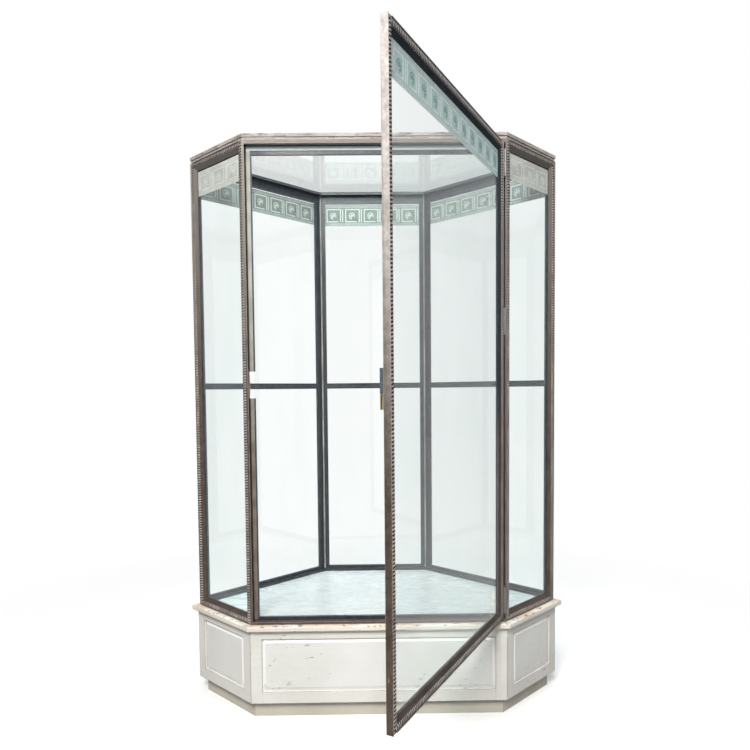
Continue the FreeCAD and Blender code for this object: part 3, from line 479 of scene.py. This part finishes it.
def bronze(name, face=None, edge_lit=False, wear=0.55, dark_from=LAND_DEPTH):
    """Bronze paint. With a face, what lies deeper than dark_from is blue-black instead.

    With edge_lit, the upright edge at the face's start is painted paler more and more with height, a painted
    sheen of the light from above, and shows small ochre chips, and the blue-black gives way to bronze low
    down.
    """
    material, graph, shader = new_material(name)
    point = graph.place()
    worn = graph.use(EDGE_WEAR, Point=point, Reach=0.0022, Grain=110.0, Amount=wear).outputs["Mask"]
    if edge_lit:
        along = graph.offset(point, face, face.right)
        height = graph.up(point)
        free_edge = graph.step(along, 0.0012, 0.0004)
        # painted sheen: the free edge is painted paler with height, for the light falling on it from above
        lit = graph.math("MULTIPLY", free_edge, graph.step(height, 0.85, 2.0, 0.0, 1.0))
        patchy = graph.step(graph.noise(point, 24.0, 5.0, 0.7), 0.35, 0.62, 0.72, 1.0)
        lit = graph.math("MULTIPLY", lit, patchy)
        chip = graph.step(graph.noise(graph.stretched(point, (1.0, 1.0, 0.35)), 130.0, 4.0, 0.7), 0.66, 0.70)
    colour, cloud = bronze_colours(graph, point, worn)
    if edge_lit:
        top_sheen = graph.mix(cloud.outputs["Fine"], (0.56, 0.50, 0.47), (0.76, 0.71, 0.68))
        colour = graph.mix(lit, colour, top_sheen)
        colour = graph.mix(graph.math("MULTIPLY", chip, free_edge), colour, (0.55, 0.42, 0.25))
    rough = graph.step(cloud.outputs["Fine"], 0.0, 1.0, 0.38, 0.6)
    if face is not None:
        inside = graph.step(graph.depth(point, face), dark_from + 0.0002, dark_from + 0.0008)
        if edge_lit:
            inside = graph.math("MULTIPLY", inside, graph.step(height, 0.9, 1.3, 0.25, 1.0))
            inside = graph.math("MULTIPLY", inside, graph.math("SUBTRACT", 1.0, free_edge))
        dark = graph.mix(cloud.outputs["Fine"], BLACK_TONES[0], BLACK_TONES[1])
        colour = graph.mix(inside, colour, dark)
    graph.put(shader["Base Color"], colour)
    graph.put(shader["Roughness"], rough)
    shader["Metallic"].default_value = 0.15
    graph.put(shader["Normal"], graph.bump(cloud.outputs["Fine"], 0.0003, 0.6))
    return material


def rope_finish(name, top_sheen):
    """Bronze on the rope mouldings: pale on the strands' crests, a painted highlight with some rubbed wear,
    and almost black between them.

    The crests' pale is duller with height. The top_sheen is how far all of it turns pale grey at the top, a
    painted sheen of the light from above.
    """
    material, graph, shader = new_material(name)
    point = graph.place()
    crest = graph.node("ShaderNodeAttribute", attribute_name="crest").outputs["Fac"]
    # painted highlight: the strands' crests are painted pale, partly as rubbed wear
    rubbed_and_highlit = graph.math("MULTIPLY", graph.step(crest, 0.55, 0.80),
                        graph.step(graph.noise(point, 14.0, 4.0, 0.7), 0.36, 0.62, 0.5, 0.95))
    colour, cloud = bronze_colours(graph, point, 0.0)
    pale = graph.mix(cloud.outputs["Fine"], (0.60, 0.52, 0.47), (0.95, 0.88, 0.83))
    pale = graph.mix(graph.step(graph.up(point), 1.3, 2.1, 0.0, 0.55), pale, (0.34, 0.31, 0.29))
    colour = graph.mix(rubbed_and_highlit, colour, pale)
    # painted sheen: all of the rope turns pale grey towards the top, by top_sheen
    colour = graph.mix(graph.step(graph.up(point), 1.5, 2.2, 0.0, top_sheen), colour, (0.52, 0.50, 0.485))
    colour = graph.mix(graph.step(crest, 0.62, 0.48), colour, (0.006, 0.005, 0.005))
    graph.put(shader["Base Color"], colour)
    graph.put(shader["Roughness"], graph.step(cloud.outputs["Fine"], 0.0, 1.0, 0.34, 0.55))
    shader["Metallic"].default_value = 0.3
    graph.put(shader["Normal"], graph.bump(cloud.outputs["Fine"], 0.0002, 0.5))
    return material


def black_paint(name):
    """Blue-black paint with a low gloss."""
    material, graph, shader = new_material(name)
    point = graph.place()
    cloud = graph.use(CLOUDING, Point=point, Size=0.15)
    worn = graph.use(EDGE_WEAR, Point=point, Reach=0.0015, Grain=120.0, Amount=0.35).outputs["Mask"]
    dark = graph.mix(cloud.outputs["Fine"], BLACK_TONES[0], BLACK_TONES[1])
    graph.put(shader["Base Color"], graph.mix(worn, dark, (0.16, 0.15, 0.145)))
    graph.put(shader["Roughness"], graph.step(cloud.outputs["Broad"], 0.0, 1.0, 0.3, 0.48))
    graph.put(shader["Normal"], graph.bump(cloud.outputs["Fine"], 0.0002, 0.5))
    return material


def clear_glass(name):
    """Old clear glass, faintly green, with a few smears that soften its gloss. Lamps shine through it."""
    material, graph, shader = new_material(name)
    tree = material.node_tree
    through = graph.node("ShaderNodeBsdfTransparent", {"Color": (0.90, 0.95, 0.945)}).outputs[0]
    shadow = graph.node("ShaderNodeLightPath").outputs["Is Shadow Ray"]
    solid = tree.nodes["Principled BSDF"].outputs[0]
    whole = graph.node("ShaderNodeMixShader", {0: shadow, 1: solid, 2: through})
    graph.put(tree.nodes["Material Output"].inputs["Surface"], whole.outputs[0])
    point = graph.place()
    smear = graph.noise(graph.stretched(point, (1.0, 1.0, 0.45)), 7.0, 5.0, 0.6)
    tint = graph.mix(graph.step(smear, 0.3, 0.7), (0.965, 0.992, 0.985), (0.94, 0.98, 0.972))
    graph.put(shader["Base Color"], tint)
    graph.put(shader["Roughness"], graph.step(smear, 0.55, 0.8, 0.0, 0.035))
    shader["IOR"].default_value = 1.45
    shader["Transmission Weight"].default_value = 1.0
    return material


def etching(name, colour, alpha, spread):
    """Acid-etched glass: matt, pale and partly see-through."""
    material, graph, shader = new_material(name)
    point = graph.place()
    cloud = graph.use(CLOUDING, Point=point, Size=0.05)
    duller = tuple(0.88 * part for part in colour)
    graph.put(shader["Base Color"], graph.mix(cloud.outputs["Fine"], colour, duller))
    graph.put(shader["Alpha"], graph.step(cloud.outputs["Broad"], 0.0, 1.0, alpha - spread, alpha + spread))
    shader["Roughness"].default_value = 0.75
    return material


def metal(name, dark, light, metallic, rough):
    """Worn metal: two tones, brighter on its edges."""
    material, graph, shader = new_material(name)
    point = graph.place()
    cloud = graph.use(CLOUDING, Point=point, Size=0.02)
    worn = graph.use(EDGE_WEAR, Point=point, Reach=0.001, Grain=400.0, Amount=0.7).outputs["Edge"]
    base = graph.mix(cloud.outputs["Fine"], dark, light)
    graph.put(shader["Base Color"], graph.mix(graph.math("MULTIPLY", worn, 0.5), base, light))
    graph.put(shader["Roughness"], graph.step(cloud.outputs["Broad"], 0.0, 1.0, rough, rough + 0.2))
    shader["Metallic"].default_value = metallic
    graph.put(shader["Normal"], graph.bump(cloud.outputs["Fine"], 0.0001, 0.4))
    return material


HEAD_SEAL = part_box("door_seals")[1].z - 14 * MM


def felt(name):
    """Pressed fibre on the door stops: brown low down and pale higher up, a painted gradient of the light
    from above, and bluish white at the head, a painted reflection.
    """
    material, graph, shader = new_material(name)
    point = graph.place()
    cloud = graph.use(CLOUDING, Point=point, Size=0.06)
    fibre = graph.noise(graph.stretched(point, (1.0, 1.0, 0.3)), 1500.0, 3.0, 0.7)
    height = graph.up(point)
    pale = graph.mix(cloud.outputs["Broad"], (0.40, 0.40, 0.36), (0.52, 0.52, 0.47))
    dim_low_down = graph.mix(cloud.outputs["Broad"], (0.11, 0.08, 0.06), (0.20, 0.155, 0.12))
    # painted light: the fibre is brown low down and pale higher up, for the light falling from above
    colour = graph.mix(graph.step(height, 0.75, 1.9), dim_low_down, pale)
    # painted reflection: the head seal is painted bluish white
    colour = graph.mix(graph.step(height, HEAD_SEAL - 0.004, HEAD_SEAL), colour, (0.72, 0.80, 0.83))
    graph.put(shader["Base Color"], graph.mix(graph.math("MULTIPLY", fibre, 0.3), colour, (0.20, 0.18, 0.16)))
    shader["Roughness"].default_value = 0.95
    shader["Sheen Weight"].default_value = 0.3
    graph.put(shader["Normal"], graph.bump(fibre, 0.0004, 0.8))
    return material


def floor_board(name):
    """The white, slightly glossy display floor, with faint long brush marks. It is painted bluish grey,
    darker than
    white: a painted blue sheen and painted shade inside the case.
    """
    material, graph, shader = new_material(name)
    point = graph.place()
    cloud = graph.use(CLOUDING, Point=point, Size=0.35)
    sweep = graph.use(GRAIN, Point=point, Lines=30.0, Stretch=(0.25, 1.0, 1.0)).outputs["Lines"]
    tone = graph.math("MULTIPLY", cloud.outputs["Broad"], 0.5)
    tone = graph.math("ADD", tone, graph.math("MULTIPLY", sweep, 0.35))
    # painted sheen and shade: the white floor is painted bluish grey, for the blue sheen and the dimmer light
    # inside the case
    graph.put(shader["Base Color"], graph.mix(tone, (0.53, 0.575, 0.58), (0.44, 0.495, 0.505)))
    graph.put(shader["Roughness"], graph.step(sweep, 0.0, 1.0, 0.22, 0.38))
    graph.put(shader["Normal"], graph.bump(sweep, 0.0004, 0.35))
    return material


def bare_wood(name):
    """Unpainted softwood inside the plinth."""
    material, graph, shader = new_material(name)
    point = graph.place()
    cloud = graph.use(CLOUDING, Point=point, Size=0.2)
    lines = graph.use(GRAIN, Point=point, Lines=180.0, Stretch=LEVEL_GRAIN).outputs["Lines"]
    tone = graph.mix(cloud.outputs["Broad"], (0.34, 0.22, 0.125), (0.43, 0.30, 0.18))
    graph.put(shader["Base Color"], graph.mix(graph.math("MULTIPLY", lines, 0.6), tone, (0.22, 0.135, 0.07)))
    shader["Roughness"].default_value = 0.75
    graph.put(shader["Normal"], graph.bump(lines, 0.0004, 0.6))
    return material


# ---- meshes ----

def add_piece(name, points, faces, body, material, smooth):
    """Puts arrays of corners and of three- or four-sided faces into a mesh that rides on a body."""
    mesh = bpy.data.meshes.new(name)
    mesh.vertices.add(len(points))
    mesh.vertices.foreach_set("co", points.astype(np.float32).ravel())
    mesh.loops.add(faces.size)
    mesh.loops.foreach_set("vertex_index", faces.astype(np.int32).ravel())
    mesh.polygons.add(len(faces))
    mesh.polygons.foreach_set("loop_start", np.arange(0, faces.size, faces.shape[1], dtype=np.int32))
    mesh.polygons.foreach_set("use_smooth", np.full(len(faces), smooth))
    mesh.update(calc_edges=True)
    mesh.materials.append(material)
    piece = bpy.data.objects.new(name, mesh)
    bpy.context.scene.collection.objects.link(piece)
    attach(piece, body)
    return piece


ROPE_STEP = 1.35 * MM
ROPE_ACROSS = 9
STRAND_SLANT = 0.14


def strand_height(along, across, half):
    """Height of a twisted half-round from 0 to 1: a round section, grooved by lines that slant across it."""
    dome = np.sqrt(np.clip(1 - (across / half) ** 2, 0, 1))
    phase = along / ROPE_PITCH + STRAND_SLANT * across / half
    ridge = np.abs(np.sin(np.pi * phase))
    return dome * (0.25 + 0.75 * ridge), ridge


def mark_crests(piece, ridge, height):
    """Stores how near each point is to a strand's crest: its ridge, a little less down the sides."""
    crest = piece.data.attributes.new("crest", "FLOAT", "POINT")
    crest.data.foreach_set("value", (ridge * (0.85 + 0.15 * height)).astype(np.float32).ravel())


def rope_ring(name, face, node, body, material):
    """A rope moulding round a face: a closed tube with flat back, its section carried round a rectangle."""
    low, high = face.extent(node)
    half = ROPE_WIDTH / 2
    corners = np.array([(low[0] + half, low[2] + half), (high[0] - half, low[2] + half),
                        (high[0] - half, high[2] - half), (low[0] + half, high[2] - half)])
    across = np.linspace(half, -half, ROPE_ACROSS)
    rings = []
    heights = []
    ridges = []
    for start, end in zip(corners, np.roll(corners, -1, axis=0)):
        run = np.linalg.norm(end - start)
        ahead = (end - start) / run
        inward = np.array([-ahead[1], ahead[0]])
        share = np.linspace(0, 1, int(run / ROPE_STEP), endpoint=False)[:, None]
        along = across + share * (run - 2 * across)
        height, ridge = strand_height(along, across, half)
        flat = start + along[..., None] * ahead + across[:, None] * inward
        rings.append(face.to_row(flat[..., 0], LAND_DEPTH * (1 - height), flat[..., 1]))
        heights.append(height)
        ridges.append(ridge)
    points = np.concatenate(rings)
    steps = len(points)
    index = np.arange(steps * ROPE_ACROSS).reshape(steps, ROPE_ACROSS)
    after = np.roll(index, -1, axis=0)
    beside = np.roll(index, -1, axis=1)
    quads = np.stack([index, beside, np.roll(after, -1, axis=1), after], axis=-1).reshape(-1, 4)
    piece = add_piece(name, points.reshape(-1, 3), quads, body, material, True)
    mark_crests(piece, np.concatenate(ridges), np.concatenate(heights))
    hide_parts(node)


def inner_strip(side, face, material):
    """A thin twisted half-round up the inside of the back frame, its section carried straight up."""
    low, high = face.extent("inner_rope_strips")
    half = high[1] - low[1]
    centre = low[0] + half if side == "left" else high[0] - half
    across = np.linspace(-half, half, ROPE_ACROSS)
    up = np.linspace(low[2], high[2], int((high[2] - low[2]) / ROPE_STEP))[:, None]
    height, ridge = strand_height(up, across, half)
    level = low[1] + half * height
    points = face.to_row(centre + across + 0 * up, level, up + 0 * across)
    index = np.arange(level.size).reshape(level.shape)
    beside = np.roll(index, -1, axis=1)
    quads = np.stack([index[:-1], index[1:], beside[1:], beside[:-1]], axis=-1).reshape(-1, 4)
    near = np.arange(1, ROPE_ACROSS - 1)
    foot = np.stack([np.zeros_like(near), near, near + 1], axis=1)
    top = foot[:, ::-1] + index[-1, 0]
    triangles = np.concatenate([quads[:, [0, 1, 2]], quads[:, [0, 2, 3]], foot, top])
    name = f"inner_rope_{side}"
    piece = add_piece(name, points.reshape(-1, 3), triangles, "case", material, True)
    mark_crests(piece, ridge, height)
    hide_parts("inner_rope_strips")


BAND_HEIGHT = 95 * MM
BAND_THICK = 0.2 * MM
LINE_THICK = 0.2 * MM
GLASS_GAP = 0.06 * MM
KEY_PITCH = 82 * MM
KEY_LINE = 5 * MM
RULE_WIDTH = 1.4 * MM
BEAD_PITCH = 6.5 * MM
BEAD_SIZE = 4.2 * MM
BEAD_MARGIN = 3.2 * MM
CASE_BAND_DROP = 4 * MM
DOOR_BAND_DROP = 2 * MM


def bar(left, right, low, high):
    """A rectangle's four corners, anticlockwise."""
    return np.array([(left, low), (right, low), (right, high), (left, high)])


def leaf_shape(length, width, angle, at, points=8):
    """A pointed oval: with the turn round it, its half width goes as the sine to the power 1.3."""
    turn = np.linspace(0, 2 * np.pi, points, endpoint=False)
    along = length / 2 * (1 - np.cos(turn))
    aside = width / 2 * np.sin(turn) * np.abs(np.sin(turn)) ** 0.3
    oval = np.stack([along, aside], axis=1)
    cos, sin = math.cos(angle), math.sin(angle)
    return oval @ np.array([[cos, sin], [-sin, cos]]) + np.array(at)


def key_shapes(pitch):
    """One square key of the running border: an upright, a hook, and a spray of leaves inside it."""
    low, high = 17 * MM, BAND_HEIGHT - 17 * MM
    line = KEY_LINE
    right = pitch - 9 * MM
    hooks = [
        bar(0, line, low, high),
        bar(10 * MM, right, high - line, high),
        bar(right - line, right, low, high - line),
        bar(24 * MM, right - line, low, low + line),
        bar(10 * MM, 10 * MM + line, low, high - line),
    ]
    centre = np.array([(15 * MM + right) / 2, BAND_HEIGHT / 2])
    spray = arc_band(centre, 13 * MM, 3.2 * MM, -50, 215)
    for angle in (20, 65, 110):
        spray.append(leaf_shape(15 * MM, 5.5 * MM, math.radians(angle), centre + (-3 * MM, -5 * MM)))
    for angle in (-80, -25):
        spray.append(leaf_shape(12 * MM, 4.5 * MM, math.radians(angle), centre + (2 * MM, -8 * MM)))
    return hooks, spray


def arc_band(centre, radius, width, start, end, pieces=9):
    """A curved band as a row of four-cornered pieces between two circles."""
    turn = np.radians(np.linspace(start, end, pieces + 1))
    spoke = np.stack([np.cos(turn), np.sin(turn)], axis=1)
    outer = centre + (radius + width / 2) * spoke
    inner = centre + (radius - width / 2) * spoke
    return list(np.stack([inner[:-1], outer[:-1], outer[1:], inner[1:]], axis=1))


def shallow_prisms(outlines, face, near, far):
    """Closed flat shapes: each outline at two depths, joined by a band, and both ends filled with fans."""
    points = []
    groups = []
    base = 0
    for outline in outlines:
        count = len(outline)
        middle = outline.mean(0)
        ring = np.concatenate([outline, middle[None]])
        for deep in (near, far):
            points.append(face.to_row(ring[:, 0], np.full(count + 1, deep), ring[:, 1]))
        first = np.arange(count)
        second = np.roll(first, -1)
        back = count + 1
        side = np.stack([first, first + back, second + back, second], axis=1)
        hub = np.full(count, count)
        front = np.stack([first, second, hub], axis=1)
        rear = np.stack([second, first, hub], axis=1) + back
        groups.append((side + base, front + base, rear + base))
        base += 2 * back
    sides = np.concatenate([group[0] for group in groups])
    caps = np.concatenate([np.concatenate(group[1:]) for group in groups])
    triangles = np.concatenate([sides[:, [0, 1, 2]], sides[:, [0, 2, 3]], caps])
    return np.concatenate(points), triangles


def frieze(name, face, body, drop, ground, lines, leaves):
    """The etched border under a pane's top rail: a matt ground, with keys, rules, beads and leaves in it."""
    left = FRAME_WIDTH + 0.4 * MM
    right = face.length - left
    top = face.high - FRAME_WIDTH - drop
    low = top - BAND_HEIGHT
    back = face.pane - GLASS_GAP
    front = back - BAND_THICK
    sheet = [bar(left, right, low, top)]
    points, faces = shallow_prisms(sheet, face, front, back)
    add_piece(f"etched_ground_{name}", points, faces, body, ground, False)
    width = right - left
    count = max(2, round(width / KEY_PITCH))
    pitch = width / count
    hooks, spray = key_shapes(pitch)
    shapes = []
    sprays = []
    for step in range(count):
        offset = np.array([left + 3 * MM + step * pitch, low])
        shapes += [shape + offset for shape in hooks]
        sprays += [shape + offset for shape in spray]
    for rule in (7 * MM, 11 * MM, BAND_HEIGHT - 12 * MM, BAND_HEIGHT - 8 * MM):
        shapes.append(bar(left, right, low + rule, low + rule + RULE_WIDTH))
    beads = np.arange(left + BEAD_PITCH, right - BEAD_PITCH / 2, BEAD_PITCH)
    for row in (BEAD_MARGIN, BAND_HEIGHT - BEAD_MARGIN):
        shapes += [leaf_shape(BEAD_SIZE, BEAD_SIZE, 0, (at - BEAD_SIZE / 2, low + row)) for at in beads]
    points, faces = shallow_prisms(shapes, face, front - LINE_THICK, back + GLASS_GAP / 2)
    add_piece(f"etched_keys_{name}", points, faces, body, lines, False)
    points, faces = shallow_prisms(sprays, face, front - LINE_THICK, back + GLASS_GAP / 2)
    add_piece(f"etched_leaves_{name}", points, faces, body, leaves, False)


# ---- finishes of the CAD nodes ----

FINE_EASE = 0.6 * MM
SOFT_EASE = 0.8 * MM
WELD_REACH = 0.01 * MM
EASED_ANGLE = math.radians(35)


def finish_node(name, material, rounding=0.0):
    """Gives a CAD node its material, and eases its arrises where a rounding is given."""
    node = nodes[name]
    if not node.material_slots:
        node.data.materials.append(material)
    for place in node.material_slots:
        place.material = material
    if rounding:
        weld = node.modifiers.new("weld", "WELD")
        weld.merge_threshold = WELD_REACH
        ease = node.modifiers.new("ease", "BEVEL")
        ease.width = rounding
        ease.segments = 2
        ease.limit_method = "ANGLE"
        ease.angle_limit = EASED_ANGLE
        ease.harden_normals = False


make_camera()
make_stage()

PLINTH_PAINT = cream_paint("plinth_paint", (0.84, 0.825, 0.78), (0.72, 0.70, 0.655), (0.22, 0.16, 0.12), 0.40)
SLAB_PAINT = cream_paint("slab_paint", (0.87, 0.84, 0.76), (0.76, 0.71, 0.62), (0.36, 0.25, 0.19), 0.6,
                         rim=(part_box("top_slab")[0].z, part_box("top_slab")[1].z))
KICK_PAINT = cream_paint("kick_paint", (0.70, 0.655, 0.565), (0.56, 0.515, 0.435), (0.18, 0.14, 0.10), 0.45)
BLACK = black_paint("inner_black")
GLASS = clear_glass("clear_glass")
DOOR_ROPE = rope_finish("door_rope_bronze", 0.85)
ROPE = rope_finish("rope_bronze", 0.0)
FRONT_GROUND = etching("etched_front_ground", (0.70, 0.72, 0.68), 0.55, 0.06)
# painted shade: the rear friezes are the same etching as the front ones, painted much darker for the shade
# they stand in
SHADED_REAR_GROUND = etching("etched_rear_ground_shaded", (0.15, 0.16, 0.15), 0.80, 0.05)
DOOR_GROUND = etching("etched_door_ground", (0.57, 0.78, 0.755), 0.76, 0.05)
FRONT_LINES = etching("etched_front_lines", (0.90, 0.91, 0.87), 0.62, 0.06)
SHADED_REAR_LINES = etching("etched_rear_lines_shaded", (0.52, 0.53, 0.51), 0.86, 0.04)
DOOR_LINES = etching("etched_door_lines", (0.95, 1.0, 1.0), 0.9, 0.04)
SHADE = etching("etched_shade", (0.30, 0.46, 0.44), 0.75, 0.05)
STEEL = metal("lock_steel", (0.075, 0.09, 0.105), (0.24, 0.27, 0.30), 0.6, 0.35)
HINGE = metal("hinge_steel", (0.14, 0.135, 0.135), (0.46, 0.45, 0.45), 0.6, 0.35)
BRASS = metal("lever_brass", (0.20, 0.135, 0.06), (0.62, 0.49, 0.24), 0.9, 0.3)
PLAIN_BRONZE = bronze("surround_bronze", wear=0.7)
PALE_LIT_BRONZE = cornice_finish("cornice_bronze")
DOOR_BRONZE = bronze("door_bronze", DOOR, edge_lit=True)

for name in nodes:
    if "glass" in name:
        finish_node(name, GLASS)
for face_name, face in {**FACES, "front": FRONT}.items():
    paint = cream_paint(f"panel_paint_{face_name}", (0.85, 0.845, 0.82), (0.76, 0.75, 0.715),
                        (0.20, 0.15, 0.11), 0.40, spotted=1.0, face=face)
    finish_node(f"plinth_frame_{face_name}", PLINTH_PAINT)
    finish_node(f"plinth_panel_{face_name}", paint)
for face_name, face in FACES.items():
    in_front = "front" in face_name
    dark_from = face.pane - 2.5 * MM if in_front else LAND_DEPTH
    finish_node(f"frame_{face_name}", bronze(f"bronze_{face_name}", face, dark_from=dark_from), FINE_EASE)
    rope_ring(f"rope_{face_name}", face, f"rope_moulding_{face_name}", "case", ROPE)
    ground, lines = (FRONT_GROUND, FRONT_LINES) if in_front else (SHADED_REAR_GROUND, SHADED_REAR_LINES)
    frieze(face_name, face, "case", CASE_BAND_DROP, ground, lines, lines)
rope_ring("rope_door", DOOR, "door_rope_moulding", "door", DOOR_ROPE)
frieze("door", DOOR, "door", DOOR_BAND_DROP, DOOR_GROUND, DOOR_LINES, SHADE)
for name in ("door_stiles", "door_rails"):
    finish_node(name, DOOR_BRONZE, FINE_EASE)
for name in ("glazing_beads", "door_glazing_beads", "mid_bars", "floor_skirting"):
    finish_node(name, BLACK)
finish_node("door_stops", BLACK, SOFT_EASE)
finish_node("door_surround", PLAIN_BRONZE, FINE_EASE)
finish_node("cornice", PALE_LIT_BRONZE)
finish_node("cap_moulding", PALE_LIT_BRONZE)
finish_node("top_slab", SLAB_PAINT)
finish_node("toe_kick", KICK_PAINT)
finish_node("display_floor", floor_board("display_floor"))
for name in ("base_bearers", "base_bottom", "corner_posts"):
    finish_node(name, bare_wood(f"{name}_wood"))
finish_node("door_seals", felt("seal_felt"))
for side in ("left", "right"):
    inner_strip(side, FACES["back"], ROPE)
for name in ("case_screws", "door_screws", "lock_bolt"):
    finish_node(name, STEEL)
finish_node("lock_case", STEEL, SOFT_EASE)
for name in ("hinge_case_leaves", "hinge_door_leaves", "hinge_pins"):
    finish_node(name, HINGE)
finish_node("strike_plate", BRASS)
finish_node("lock_lever", BRASS, SOFT_EASE)
